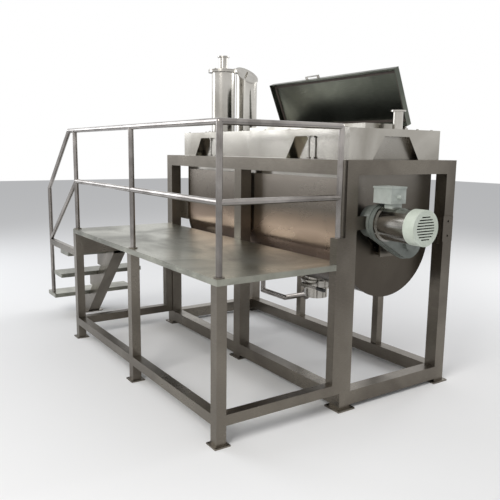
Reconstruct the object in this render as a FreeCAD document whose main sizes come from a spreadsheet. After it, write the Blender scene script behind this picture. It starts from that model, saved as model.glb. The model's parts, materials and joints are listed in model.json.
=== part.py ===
import FreeCAD, Part
import Sketcher
import math
import os

from FreeCAD import Placement, Rotation, Vector

# Ribbon blender: a jacketed trough with a double ribbon agitator, in a frame of square tube,
# with its geared motor, and a work platform with a stair in front of it.
# Millimetres. +X runs along the trough to the drive, +Y away from the platform, +Z up.
# Places are written from the platform's left rear corner on the floor, and shifted once,
# by originX and originY, so that the origin lies under the middle of the whole machine.

doc = FreeCAD.newDocument("RibbonBlender")
sheet = doc.addObject("Spreadsheet::Sheet", "dims")


class Size:
    """A length: its number, and the expression that ties it to the sheet."""

    def __init__(self, text, number):
        self.text = text
        self.number = float(number)

    def join(self, sign, other, number):
        return Size("(%s %s %s)" % (self.text, sign, other.text), number)

    def __add__(self, other):
        other = as_size(other)
        return self.join("+", other, self.number + other.number)

    def __radd__(self, other):
        return as_size(other) + self

    def __sub__(self, other):
        other = as_size(other)
        return self.join("-", other, self.number - other.number)

    def __rsub__(self, other):
        return as_size(other) - self

    def __mul__(self, other):
        other = as_size(other)
        return self.join("*", other, self.number * other.number)

    def __rmul__(self, other):
        return as_size(other) * self

    def __truediv__(self, other):
        other = as_size(other)
        return self.join("/", other, self.number / other.number)

    def __neg__(self):
        return as_size(0) - self


def as_size(value):
    if isinstance(value, Size):
        return value
    return Size("%.9g" % value, value)


rows = 0


def size(alias, number, note):
    """Puts one driving dimension into the sheet."""
    global rows
    rows += 1
    sheet.set("A%d" % rows, note)
    sheet.set("B%d" % rows, str(number))
    sheet.setAlias("B%d" % rows, alias)
    return Size("dims." + alias, number)


# ---------------------------------------------------------------- driving dimensions
frameLength = size("frameLength", 2650, "machine frame, outside, along X")
frameDepth = size("frameDepth", 1095, "machine frame, outside, along Y")
frameHeight = size("frameHeight", 1730, "top of the frame's upper beams")
frameShift = size("frameShift", 20, "frame's left end beyond the platform's")
frameTube = size("frameTube", 100, "square tube of the machine frame")
frameWall = size("frameWall", 5, "wall of that tube")
beamLift = size("beamLift", 30, "bottom beams above the floor")
slimTube = size("slimTube", 65, "square tube of the two rear intermediate posts")
slimPostLeft = size("slimPostLeft", 910, "left rear intermediate post from the frame's left end")
slimPostRight = size("slimPostRight", 1970, "right rear intermediate post from the same end")
footSide = size("footSide", 150, "foot plate of a machine post")
footPlate = size("footPlate", 12, "its thickness")
footPitch = size("footPitch", 124, "hole spacing of the foot plates")
footHole = size("footHole", 14, "holding-down bolt hole")

shaftHeight = size("shaftHeight", 1165, "agitator axis above the floor")
troughRadius = size("troughRadius", 385, "inner radius of the trough")
shellWall = size("shellWall", 6, "trough sheet")
jacketGap = size("jacketGap", 36, "space between trough and jacket")
jacketWall = size("jacketWall", 4, "jacket sheet")
jacketTop = size("jacketTop", 1600, "upper edge of the jacket")
endPlate = size("endPlate", 8, "trough end plate")
endPlateTop = size("endPlateTop", 1625, "shoulder of the end plate")
endPlateRim = size("endPlateRim", 9, "end plate beyond the jacket")
casingLeft = size("casingLeft", 185, "left face of the upper casing")
casingRight = size("casingRight", 2535, "right face of the upper casing")
casingInset = size("casingInset", 90, "casing's long faces inside the frame's")
endCasing = size("endCasing", 45, "casing at the trough's ends")
coverHeight = size("coverHeight", 1945, "top of the cover plate")
coverPlate = size("coverPlate", 8, "cover plate")
windowTop = size("windowTop", 250, "casing window, width at its top")
windowFoot = size("windowFoot", 465, "casing window, width at its foot")
windowHeight = size("windowHeight", 163, "casing window, height")
windowShift = size("windowShift", 715, "long side windows from the casing's middle")
tieRod = size("tieRod", 16, "tie rod in a casing window")

hingeSetback = size("hingeSetback", 294.5, "lid's hinge axis behind the agitator axis")
hingeLift = size("hingeLift", 27, "hinge axis above the cover plate")
hingePin = size("hingePin", 12, "hinge pin")
hingeBarrel = size("hingeBarrel", 22, "hinge barrel")
knuckleLength = size("knuckleLength", 40, "one hinge knuckle")
lidLeft = size("lidLeft", 820, "left end of the charging lid")
lidLength = size("lidLength", 1555, "charging lid along X")
lidWidth = size("lidWidth", 440, "charging lid from hinge side to free edge")
lidClear = size("lidClear", 14, "lid's rear edge from its hinge axis")
lidSheet = size("lidSheet", 4, "lid sheet")
lidRim = size("lidRim", 45, "depth of the lid's folded rim")
coamingHeight = size("coamingHeight", 46, "upstand round the charging opening")
coamingWall = size("coamingWall", 6, "its sheet")
coamingInset = size("coamingInset", 30, "upstand inside the lid's outline")
gasketWidth = size("gasketWidth", 18, "lid gasket")
gasketThick = size("gasketThick", 5.5, "lid gasket, uncompressed")
gasketGap = size("gasketGap", 0.5, "gasket clear of the upstand when the lid is shut")
handleLength = size("handleLength", 160, "lid's strap handle")
handleReach = size("handleReach", 28, "handle beyond the lid's free edge")

shaftSize = size("shaftSize", 80, "agitator shaft")
ribbonGap = size("ribbonGap", 10, "outer ribbons clear of the trough")
ribbonWidth = size("ribbonWidth", 60, "outer ribbon, radial width")
ribbonPlate = size("ribbonPlate", 10, "ribbon thickness along the shaft")
innerRadius = size("innerRadius", 200, "inner ribbons, outer radius")
innerWidth = size("innerWidth", 45, "inner ribbon, radial width")
ribbonPitch = size("ribbonPitch", 720, "length of one turn of a ribbon")
spokeSize = size("spokeSize", 30, "ribbon spoke")
runningGap = size("runningGap", 0.05, "radial clearance of a running fit")

glandLength = size("glandLength", 28, "stuffing box")
glandRadius = size("glandRadius", 70, "stuffing box, outside")
packingRadius = size("packingRadius", 52, "packing rings, outside")
bearingStandoff = size("bearingStandoff", 40, "bearing plate clear of the end plate")
bearingPlate = size("bearingPlate", 12, "bearing plate")
bearingSide = size("bearingSide", 250, "bearing plate, side")
bearingDepth = size("bearingDepth", 42, "flanged bearing housing")
bearingSeat = size("bearingSeat", 58, "bearing insert, outer radius")
bearingRadius = size("bearingRadius", 80, "bearing housing, outer radius")

driveRise = size("driveRise", 145, "motor axis above the shaft axis")
driveOffset = size("driveOffset", 247.5, "motor axis in front of the shaft axis")
gearboxStart = size("gearboxStart", 112, "gearbox from the trough's right end plate")
gearboxDepth = size("gearboxDepth", 100, "gearbox along X")
gearboxRadius = size("gearboxRadius", 120, "gearbox, radius of both ends")
sleeveRadius = size("sleeveRadius", 50, "gearbox hollow shaft, outer radius")
motorRadius = size("motorRadius", 115, "motor body")
motorLength = size("motorLength", 250, "motor body along X")
cowlLength = size("cowlLength", 88, "fan cowl")
cowlWall = size("cowlWall", 3, "fan cowl sheet")
rotorRadius = size("rotorRadius", 12, "motor shaft")
fanRadius = size("fanRadius", 92, "cooling fan")

outletShift = size("outletShift", 345, "discharge outlet from the trough's middle")
outletBore = size("outletBore", 90, "discharge outlet, inner radius")
outletWall = size("outletWall", 5, "discharge spout wall")
spoutBore = size("spoutBore", 92.5, "discharge spout below the valve, inner radius")
valveTop = size("valveTop", 705, "upper face of the discharge valve")
valveDepth = size("valveDepth", 44, "valve ring")
valveStem = size("valveStem", 8, "valve stem, radius")
flangeRadius = size("flangeRadius", 130, "discharge flanges")
flangePlate = size("flangePlate", 12, "pipe flanges")
outletFoot = size("outletFoot", 565, "lower end of the discharge spout")
steamPipe = size("steamPipe", 48, "jacket pipe")
steamPipeWall = size("steamPipeWall", 4, "jacket pipe wall")
steamPipeX = size("steamPipeX", 920, "jacket pipe's riser")
steamPipeZ = size("steamPipeZ", 457, "jacket pipe's level run")

filterX = size("filterX", 489, "dust filter's axis along X")
filterFront = size("filterFront", 197.5, "dust filter's axis in front of the shaft axis")
filterRadius = size("filterRadius", 110, "dust filter housing")
filterHeight = size("filterHeight", 575, "dust filter above the cover")
filterNozzle = size("filterNozzle", 42, "dust filter's clean air nozzle, radius")
ventX = size("ventX", 434, "mitred vent's axis along X")
ventBack = size("ventBack", 102.5, "mitred vent's axis behind the shaft axis")
ventRadius = size("ventRadius", 105, "mitred vent")
ventHeight = size("ventHeight", 565, "mitred vent's axis height above the cover")
stubX = size("stubX", 2437, "feed stub's axis along X")
stubRadius = size("stubRadius", 36.5, "feed stub")
stubHeight = size("stubHeight", 140, "feed stub above the cover")
pipeWall = size("pipeWall", 4, "wall of filter, vent and stub")

deckHeight = size("deckHeight", 1044, "top of the platform deck")
platformLength = size("platformLength", 2630, "platform along X")
platformDepth = size("platformDepth", 988, "platform along Y")
legTube = size("legTube", 70, "platform legs")
legWall = size("legWall", 4, "their wall")
legFoot = size("legFoot", 110, "foot plate of a leg")
legFootPlate = size("legFootPlate", 10, "its thickness")
legFootPitch = size("legFootPitch", 88, "hole spacing of those plates")
middleLeg = size("middleLeg", 1330, "middle leg along X")
deckSheet = size("deckSheet", 4, "deck plate")
deckLip = size("deckLip", 36, "deck plate's turned-down lip")
bearerTube = size("bearerTube", 40, "deck bearer, width")
braceFoot = size("braceFoot", 130, "lower braces above the floor")
fasciaFoot = size("fasciaFoot", 800, "lower edge of the stair-end fascia")
railHeight = size("railHeight", 900, "handrail's axis above the deck")
middleRail = size("middleRail", 442, "middle rail's axis above the deck")
railRadius = size("railRadius", 20, "handrail pipe")
railFlange = size("railFlange", 8, "base plates of the rail posts")
railOverhang = size("railOverhang", 130, "handrail beyond the platform over the stair")
railStub = size("railStub", 166, "rail's stub post above the deck")

stairReach = size("stairReach", 980, "stair beyond the platform")
stairGoing = size("stairGoing", 250, "going of one step")
stairRise = size("stairRise", 261, "rise of one step")
treadLip = size("treadLip", 40, "tread's folded edge")
treadSheet = size("treadSheet", 4, "tread sheet")
treadWidth = size("treadWidth", 863, "tread along Y")
stringerWidth = size("stringerWidth", 120, "central stringer along Y")
stringerDepth = size("stringerDepth", 130, "central stringer across its slope")
stairPost = size("stairPost", 850, "stair's rail post beyond the platform")
stairKnee = size("stairKnee", 1375, "knee of the stair rail above the floor")

lidOpening = 67.5
stringerSlope = 43.8
turnsPerHalf = 1.5

# ---------------------------------------------------------------- derived places
frameLeft = -frameShift
frameRight = frameLeft + frameLength
beamUnder = frameHeight - frameTube
shaftY = frameDepth / 2
shellRadius = troughRadius + shellWall
jacketRadius = shellRadius + jacketGap + jacketWall
endRadius = jacketRadius + endPlateRim
leftOut = casingLeft + endCasing
leftIn = leftOut + endPlate
rightOut = casingRight - endCasing
rightIn = rightOut - endPlate
troughMiddle = (leftOut + rightOut) / 2
coverUnder = coverHeight - coverPlate
ribbonRadius = troughRadius - ribbonGap
shaftRadius = shaftSize / 2
outletX = troughMiddle + outletShift
outletOuter = outletBore + outletWall
valveFoot = valveTop - valveDepth
valveMiddle = valveTop - valveDepth / 2
motorY = shaftY - driveOffset
motorZ = shaftHeight + driveRise
gearboxLow = rightOut + gearboxStart
gearboxHigh = gearboxLow + gearboxDepth
motorHigh = gearboxHigh + motorLength
cowlHigh = motorHigh + cowlLength
hingeY = shaftY + hingeSetback
hingeZ = coverHeight + hingeLift
lidRight = lidLeft + lidLength
lidUnder = coamingHeight + gasketThick + gasketGap - hingeLift
coamingFront = hingeY - lidClear - lidWidth + coamingInset
coamingBack = hingeY - lidClear - coamingInset
deckUnder = deckHeight - deckSheet
legTop = deckUnder - deckLip
legAxis = legTube / 2
railY = legAxis - platformDepth
railZ = deckHeight + railHeight
middleRailZ = deckHeight + middleRail
braceTop = braceFoot + legTube
rightLegX = platformLength - legAxis

# The machine reaches from the lowest tread to the fan cowl,
# and from the front feet of the platform to the rear feet of the frame.
reachFront = railY - legFoot / 2
reachBack = frameDepth + (footSide - frameTube) / 2
originX = (cowlHigh - stairReach) / 2
originY = (reachFront + reachBack) / 2

nodes = {}
shift = [originX, originY]


# ---------------------------------------------------------------- building helpers
def place(thing, x, y, z):
    """Binds a position in the machine's coordinates."""
    thing.setExpression("Placement.Base.x", (as_size(x) - shift[0]).text)
    thing.setExpression("Placement.Base.y", (as_size(y) - shift[1]).text)
    thing.setExpression("Placement.Base.z", as_size(z).text)


def own_frame(wanted):
    """Switches to pieces drawn about their own origin, and back."""
    shift[0] = as_size(0) if wanted else originX
    shift[1] = as_size(0) if wanted else originY


def block(name, x, y, z):
    """A box from its low and high faces."""
    thing = doc.addObject("Part::Box", name)
    for prop, pair in (("Length", x), ("Width", y), ("Height", z)):
        thing.setExpression(prop, (as_size(pair[1]) - pair[0]).text)
    place(thing, x[0], y[0], z[0])
    return thing


alongX = Rotation(Vector(0, 1, 0), 90)
alongY = Rotation(Vector(1, 0, 0), -90)
alongZ = Rotation()


def rod(name, direction, start, length, radius):
    """A round bar from its start point."""
    thing = doc.addObject("Part::Cylinder", name)
    thing.setExpression("Radius", as_size(radius).text)
    thing.setExpression("Height", as_size(length).text)
    thing.Placement = Placement(Vector(0, 0, 0), direction)
    place(thing, start[0], start[1], start[2])
    return thing


def bar_between(name, start, end, radius):
    """A round bar from one point to another."""
    first = Vector(*[as_size(value).number for value in start])
    last = Vector(*[as_size(value).number for value in end])
    direction = Rotation(Vector(0, 0, 1), last - first)
    return rod(name, direction, start, (last - first).Length, radius)


def ball(name, centre, radius):
    thing = doc.addObject("Part::Sphere", name)
    thing.setExpression("Radius", as_size(radius).text)
    place(thing, centre[0], centre[1], centre[2])
    return thing


def cut(name, base, tool):
    thing = doc.addObject("Part::Cut", name)
    thing.Base = base
    thing.Tool = tool
    return thing


def common(name, base, tool):
    thing = doc.addObject("Part::Common", name)
    thing.Base = base
    thing.Tool = tool
    return thing


def fuse(name, pieces):
    thing = doc.addObject("Part::MultiFuse", name)
    thing.Shapes = pieces
    return thing


def group(name, pieces):
    """Separate solids that share one node."""
    thing = doc.addObject("Part::Compound", name)
    thing.Links = pieces
    return thing


def node(label, thing):
    """Files a piece under its node. Pieces filed under one name share that node."""
    nodes.setdefault(label, []).append(thing)
    return thing


def close_nodes():
    """Labels one document object per node."""
    closed = []
    for label, pieces in nodes.items():
        thing = pieces[0] if len(pieces) == 1 else group("Node_" + label, pieces)
        thing.Label = label
        closed.append(thing)
    return closed


def square_tube(name, x, y, z, wall, axis):
    """A square tube, open at both ends of its axis."""
    inner = []
    for letter, pair in zip("XYZ", (x, y, z)):
        if letter == axis:
            inner.append(pair)
        else:
            inner.append((as_size(pair[0]) + wall, as_size(pair[1]) - wall))
    return cut(name, block(name + "Outer", x, y, z), block(name + "Bore", *inner))


def about(middle, width):
    """Low and high face of a piece centred on a plane."""
    middle = as_size(middle)
    return (middle - as_size(width) / 2, middle + as_size(width) / 2)


def ring(name, direction, start, length, outer, inner):
    whole = rod(name + "Outer", direction, start, length, outer)
    return cut(name, whole, rod(name + "Bore", direction, start, length, inner))


def origin_plane(body, role):
    for feature in body.Origin.OriginFeatures:
        if feature.Role == role:
            return feature
    raise ValueError(role)


def pin_point(sketch, geometry, end, point):
    """Holds a point of an edge at its distances from the sketch's origin."""
    for kind, axis, value in (("DistanceX", -2, point[0]), ("DistanceY", -1, point[1])):
        value = as_size(value)
        if abs(value.number) < 1e-9:
            sketch.addConstraint(Sketcher.Constraint("PointOnObject", geometry, end, axis))
        else:
            held = sketch.addConstraint(
                Sketcher.Constraint(kind, -1, 1, geometry, end, value.number))
            sketch.setExpression("Constraints[%d]" % held, value.text)


def flat(point):
    return Vector(as_size(point[0]).number, as_size(point[1]).number, 0)


def draw_loop(sketch, corners):
    """A closed outline of straight edges."""
    first = sketch.GeometryCount
    count = len(corners)
    for step in range(count):
        start = flat(corners[step])
        end = flat(corners[(step + 1) % count])
        sketch.addGeometry(Part.LineSegment(start, end))
    for step in range(count):
        following = first + (step + 1) % count
        sketch.addConstraint(Sketcher.Constraint("Coincident", first + step, 2, following, 1))
        pin_point(sketch, first + step, 1, corners[step])


def draw_circle(sketch, centre, radius):
    radius = as_size(radius)
    index = sketch.addGeometry(Part.Circle(flat(centre), Vector(0, 0, 1), radius.number))
    pin_point(sketch, index, 3, centre)
    held = sketch.addConstraint(Sketcher.Constraint("Radius", index, radius.number))
    sketch.setExpression("Constraints[%d]" % held, radius.text)


def plate_body(name, role, start, thickness, loops, circles=()):
    """A flat piece: its outline and cut-outs on an origin plane, padded to its thickness.
    The outline is in machine coordinates."""
    body = doc.addObject("PartDesign::Body", name)
    sketch = body.newObject("Sketcher::SketchObject", name + "Outline")
    sketch.AttachmentSupport = [(origin_plane(body, role), "")]
    sketch.MapMode = "FlatFace"
    for corners in loops:
        draw_loop(sketch, corners)
    for centre, radius in circles:
        draw_circle(sketch, centre, radius)
    pad = body.newObject("PartDesign::Pad", name + "Pad")
    pad.Profile = sketch
    pad.setExpression("Length", as_size(thickness).text)
    pad.Reversed = role == "XZ_Plane"
    body.Tip = pad
    offsets = {"YZ_Plane": (start, 0, 0), "XZ_Plane": (0, start, 0), "XY_Plane": (0, 0, start)}
    place(body, *offsets[role])
    return body


def rectangle(u, v):
    return [(u[0], v[0]), (u[1], v[0]), (u[1], v[1]), (u[0], v[1])]


def drilled_plate(name, x, y, side, thickness, pitch, hole):
    """A square floor plate with four holes."""
    spots = [(x + pitch * u, y + pitch * v) for u in (-0.5, 0.5) for v in (-0.5, 0.5)]
    circles = [(spot, hole / 2) for spot in spots]
    return plate_body(name, "XY_Plane", 0, thickness,
                      [rectangle(about(x, side), about(y, side))], circles)


# ---------------------------------------------------------------- machine frame
def build_frame():
    half = frameTube / 2
    front = [frameLeft + half, (frameLeft + frameRight) / 2, frameRight - half]
    back = [front[0], front[2]]
    rear = frameDepth - half

    posts = []
    plates = []
    for row, centres in ((half, front), (rear, back)):
        for centre in centres:
            name = "Post%d" % len(posts)
            posts.append(square_tube(name, about(centre, frameTube), about(row, frameTube),
                                     (footPlate, beamUnder), frameWall, "Z"))
            plates.append(drilled_plate("Foot%d" % len(plates), centre, row, footSide,
                                        footPlate, footPitch, footHole))
    node("frame_posts", group("FramePosts", posts))
    node("frame_plates", group("FrameFeet", plates))

    slim = []
    for distance in (slimPostLeft, slimPostRight):
        slim.append(square_tube("SlimPost%d" % len(slim), about(frameLeft + distance, slimTube),
                                about(rear, slimTube), (beamLift + frameTube, beamUnder),
                                frameWall, "Z"))
    node("frame_posts", group("SlimPosts", slim))

    level = (beamUnder, frameHeight)
    top = []
    caps = []
    for row in (half, rear):
        span = (frameLeft + frameWall, frameRight - frameWall)
        top.append(square_tube("TopLong%d" % len(top), span, about(row, frameTube), level,
                               frameWall, "X"))
        for face in (frameLeft, frameRight - frameWall):
            caps.append(block("Cap%d" % len(caps), (face, face + frameWall),
                              about(row, frameTube), level))
    for centre in back:
        top.append(square_tube("TopCross%d" % len(top), about(centre, frameTube),
                               (frameTube, frameDepth - frameTube), level, frameWall, "Y"))
    node("frame_top_beams", group("FrameTop", top))
    node("frame_plates", group("FrameCaps", caps))

    level = (beamLift, beamLift + frameTube)
    low = []
    for first, second in ((front[0], front[1]), (front[1], front[2])):
        low.append(square_tube("LowFront%d" % len(low), (first + half, second - half),
                               about(half, frameTube), level, frameWall, "X"))
    low.append(square_tube("LowBack", (front[0] + half, front[2] - half),
                           about(rear, frameTube), level, frameWall, "X"))
    for centre in back:
        low.append(square_tube("LowCross%d" % len(low), about(centre, frameTube),
                               (frameTube, frameDepth - frameTube), level, frameWall, "Y"))
    node("frame_bottom_beams", group("FrameLow", low))

    # gussets carry the trough's end plates on the four corner posts
    gusset = 20
    gussets = []
    level = (shaftHeight - 65, shaftHeight + 135)
    for span in ((frameLeft + frameTube - 60, leftOut), (rightOut, frameRight - frameTube + 60)):
        for side in ((frameTube, frameTube + gusset),
                     (frameDepth - frameTube - gusset, frameDepth - frameTube)):
            gussets.append(block("Gusset%d" % len(gussets), span, side, level))
    node("trough_supports", group("Gussets", gussets))

    side = (frameDepth - frameTube - 20, frameDepth - 10)
    node("frame_plates", plate_body(
        "JunctionPlate", "YZ_Plane", frameRight, 10,
        [rectangle(side, (shaftHeight - 40, shaftHeight + 150))],
        [((side[0] + 55, shaftHeight + step), 9) for step in (0, 110)]))


# ---------------------------------------------------------------- trough and jacket
def channel(name, span, radius, top):
    """A solid with a round bottom about the shaft axis and straight sides."""
    along = rod(name + "Round", alongX, (span[0], shaftY, shaftHeight), span[1] - span[0], radius)
    upper = block(name + "Upper", span, about(shaftY, radius * 2), (shaftHeight, top))
    return fuse(name, [along, upper])


def build_trough():
    inside = (leftIn, rightIn)
    outletHole = rod("OutletHole", alongZ, (outletX, shaftY, valveTop),
                     shaftHeight - valveTop, outletOuter)
    steamHole = rod("SteamHole", alongZ, (steamPipeX, shaftY, steamPipeZ),
                    shaftHeight - jacketRadius + 20 - steamPipeZ, steamPipe / 2 - steamPipeWall)

    hollow = channel("TroughBore", inside, troughRadius, coverUnder)
    outside = channel("TroughOutside", inside, shellRadius, coverUnder)
    shell = cut("TroughSheet", outside, fuse("TroughOpenings", [hollow, outletHole]))
    node("trough_shell", shell)

    # the jacket is welded from a round foot, two straight sides and the two lips that close it
    jacketInner = jacketRadius - jacketWall
    hoop = ring("JacketHoop", alongX, (leftIn, shaftY, shaftHeight), rightIn - leftIn,
                jacketRadius, jacketInner)
    lowHalf = block("JacketLowHalf", inside, about(shaftY, jacketRadius * 2 + 20),
                    (shaftHeight - jacketRadius - 10, shaftHeight))
    holes = fuse("JacketOpenings", [outletHole, steamHole])
    node("heating_jacket", cut("JacketFoot", common("JacketTrough", hoop, lowHalf), holes))
    lipFoot = jacketTop - jacketWall
    for name, side in (("Front", -1), ("Back", 1)):
        skin = [shaftY + jacketInner * side, shaftY + jacketRadius * side]
        lip = [shaftY + shellRadius * side, shaftY + jacketRadius * side]
        if side < 0:
            skin.reverse()
            lip.reverse()
        node("heating_jacket", block("JacketSheet" + name, inside, skin, (shaftHeight, lipFoot)))
        node("heating_jacket", block("JacketLip" + name, inside, lip, (lipFoot, jacketTop)))

    for name, start in (("LeftEnd", leftOut), ("RightEnd", rightIn)):
        low = channel(name + "Low", (start, start + endPlate), endRadius, endPlateTop)
        high = block(name + "High", (start, start + endPlate), about(shaftY, shellRadius * 2),
                     (endPlateTop, coverUnder))
        bore = rod(name + "Bore", alongX, (start, shaftY, shaftHeight), endPlate, shaftRadius + 4)
        node("trough_end_plates", cut(name, fuse(name + "Whole", [low, high]), bore))

    # blocks between the trough's straight sides and the upper beams
    blocks = []
    for x in (frameLeft + frameLength * 0.2, frameLeft + frameLength * 0.4,
              frameLeft + frameLength * 0.6, frameLeft + frameLength * 0.8):
        for side in ((frameTube, shaftY - shellRadius), (shaftY + shellRadius, frameDepth - frameTube)):
            blocks.append(block("SideBlock%d" % len(blocks), about(x, 60), side,
                                (beamUnder + 20, frameHeight - 20)))
    node("trough_supports", group("SideBlocks", blocks))


def window(middle):
    """Outline of a casing window, left to right, standing on the upper beams."""
    top = frameHeight + windowHeight
    return [(middle - windowFoot / 2, frameHeight), (middle - windowTop / 2, top),
            (middle + windowTop / 2, top), (middle + windowFoot / 2, frameHeight)]


def build_casing():
    middle = (casingLeft + casingRight) / 2
    outline = [(casingLeft, frameHeight)]
    for sign in (-1, 1):
        outline += window(middle + windowShift * sign)
    outline += [(casingRight, frameHeight), (casingRight, coverUnder), (casingLeft, coverUnder)]
    depth = shaftY - shellRadius - casingInset
    node("casing_sides", plate_body("CasingFront", "XZ_Plane", casingInset, depth, [outline]))
    node("casing_sides", plate_body("CasingRear", "XZ_Plane", shaftY + shellRadius, depth, [outline]))

    side = about(shaftY, shellRadius * 2)
    outline = [(side[0], frameHeight)] + window(shaftY)
    outline += [(side[1], frameHeight), (side[1], coverUnder), (side[0], coverUnder)]
    node("casing_ends", plate_body("CasingLeft", "YZ_Plane", casingLeft, endCasing, [outline]))
    node("casing_ends", plate_body("CasingRight", "YZ_Plane", rightOut, endCasing, [outline]))

    rods = []
    for x in (middle - windowShift, middle + windowShift):
        for y in (casingInset + depth / 2, shaftY + shellRadius + depth / 2):
            name = "TieRod%d" % len(rods)
            bar = rod(name + "Bar", alongZ, (x, y, frameHeight), windowHeight, tieRod / 2)
            nut = rod(name + "Nut", alongZ, (x, y, frameHeight), 14, tieRod)
            top = rod(name + "Top", alongZ, (x, y, frameHeight + windowHeight - 10), 10, tieRod)
            rods.append(fuse(name, [bar, nut, top]))
    node("casing_tie_rods", group("TieRods", rods))


def build_cover():
    opening = rectangle((lidLeft + coamingInset + coamingWall, lidRight - coamingInset - coamingWall),
                        (coamingFront + coamingWall, coamingBack - coamingWall))
    outline = rectangle((casingLeft, casingRight), (casingInset, frameDepth - casingInset))
    holes = [((filterX, shaftY - filterFront), filterRadius - pipeWall),
             ((ventX, shaftY + ventBack), ventRadius - pipeWall),
             ((stubX, shaftY + ventBack), stubRadius - pipeWall)]
    node("top_cover", plate_body("TopCover", "XY_Plane", coverUnder, coverPlate,
                                 [outline, opening], holes))

    outer = block("CoamingOuter", (lidLeft + coamingInset, lidRight - coamingInset),
                  (coamingFront, coamingBack), (coverHeight, coverHeight + coamingHeight))
    inner = block("CoamingInner",
                  (lidLeft + coamingInset + coamingWall, lidRight - coamingInset - coamingWall),
                  (coamingFront + coamingWall, coamingBack - coamingWall),
                  (coverHeight, coverHeight + coamingHeight))
    node("charging_coaming", cut("Coaming", outer, inner))

    bolts = []
    rowX = [casingLeft + 60 + (casingRight - casingLeft - 120) * (step / 7) for step in range(8)]
    spots = [(x, casingInset + 28) for x in rowX] + [(x, frameDepth - casingInset - 28) for x in rowX]
    for x in (casingLeft + 22, casingRight - 22):
        spots += [(x, shaftY + offset) for offset in (-230, 0, 230)]
    for x, y in spots:
        bolts.append(rod("CoverBolt%d" % len(bolts), alongZ, (x, y, coverHeight), 7, 9))
    node("cover_bolts", group("CoverBolts", bolts))


# ---------------------------------------------------------------- charging lid
def seat_lid_piece(label, thing):
    """Swings a piece drawn about the hinge axis, lid shut, to the open position."""
    thing.Placement = Placement(Vector(0, 0, 0), Rotation(Vector(1, 0, 0), -lidOpening))
    own_frame(False)
    place(thing, 0, hingeY, hingeZ)
    own_frame(True)
    node(label, thing)


def build_lid():
    own_frame(True)
    long = (lidLeft, lidRight)
    across = (-lidClear - lidWidth, -lidClear)
    top = lidUnder + lidSheet
    outer = block("LidOuter", long, across, (top - lidRim, top))
    inner = block("LidInner", (lidLeft + lidSheet, lidRight - lidSheet),
                  (across[0] + lidSheet, across[1] - lidSheet), (top - lidRim, lidUnder))
    seat_lid_piece("lid_panel", cut("LidPanel", outer, inner))

    level = (lidUnder - gasketThick, lidUnder)
    middle = coamingWall / 2 + coamingInset
    edge = middle - gasketWidth / 2
    bore = middle + gasketWidth / 2
    outer = block("GasketOuter", (lidLeft + edge, lidRight - edge),
                  (across[0] + edge, across[1] - edge), level)
    inner = block("GasketInner", (lidLeft + bore, lidRight - bore),
                  (across[0] + bore, across[1] - bore), level)
    seat_lid_piece("lid_gasket", cut("Gasket", outer, inner))

    centre = lidLeft + lidLength * 0.39
    strap = 8
    level = (top - 34, top - 10)
    outer = block("HandleOuter", about(centre, handleLength),
                  (across[0] - handleReach, across[0]), level)
    inner = block("HandleInner", about(centre, handleLength - strap * 2),
                  (across[0] - handleReach + strap, across[0]), level)
    seat_lid_piece("lid_handle", cut("LidHandle", outer, inner))

    moving = []
    for step in (0.06, 0.5, 0.94):
        x = lidLeft + lidLength * step - knuckleLength / 2
        name = "LidKnuckle%d" % len(moving)
        barrel = rod(name + "Barrel", alongX, (x, 0, 0), knuckleLength, hingeBarrel / 2)
        leaf = block(name + "Leaf", (x, x + knuckleLength), (-lidClear, 0),
                     (-hingeBarrel / 2, hingeBarrel / 2 - 4))
        bore = rod(name + "Bore", alongX, (x, 0, 0), knuckleLength, hingePin / 2 + runningGap)
        moving.append(cut(name, fuse(name + "Whole", [barrel, leaf]), bore))
    seat_lid_piece("lid_hinge_leaves", group("LidKnuckles", moving))
    own_frame(False)

    fixed = []
    pins = []
    gap = 1
    for step in (0.06, 0.5, 0.94):
        x = lidLeft + lidLength * step
        for low in (x - knuckleLength / 2 - gap - knuckleLength, x + knuckleLength / 2 + gap):
            name = "Knuckle%d" % len(fixed)
            barrel = rod(name + "Barrel", alongX, (low, hingeY, hingeZ), knuckleLength, hingeBarrel / 2)
            leaf = block(name + "Leaf", (low, low + knuckleLength),
                         (hingeY - hingeBarrel / 2 + 3, hingeY + hingeBarrel / 2 + 14),
                         (coverHeight, hingeZ - hingeBarrel / 4))
            bore = rod(name + "Bore", alongX, (low, hingeY, hingeZ), knuckleLength, hingePin / 2)
            fixed.append(cut(name, fuse(name + "Whole", [barrel, leaf]), bore))
        length = knuckleLength * 3 + gap * 2 + 8
        pins.append(rod("HingePin%d" % len(pins), alongX, (x - length / 2, hingeY, hingeZ), length,
                        hingePin / 2))
    node("lid_hinge_brackets", group("FixedKnuckles", fixed))
    node("lid_hinge_brackets", group("HingePins", pins))


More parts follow.
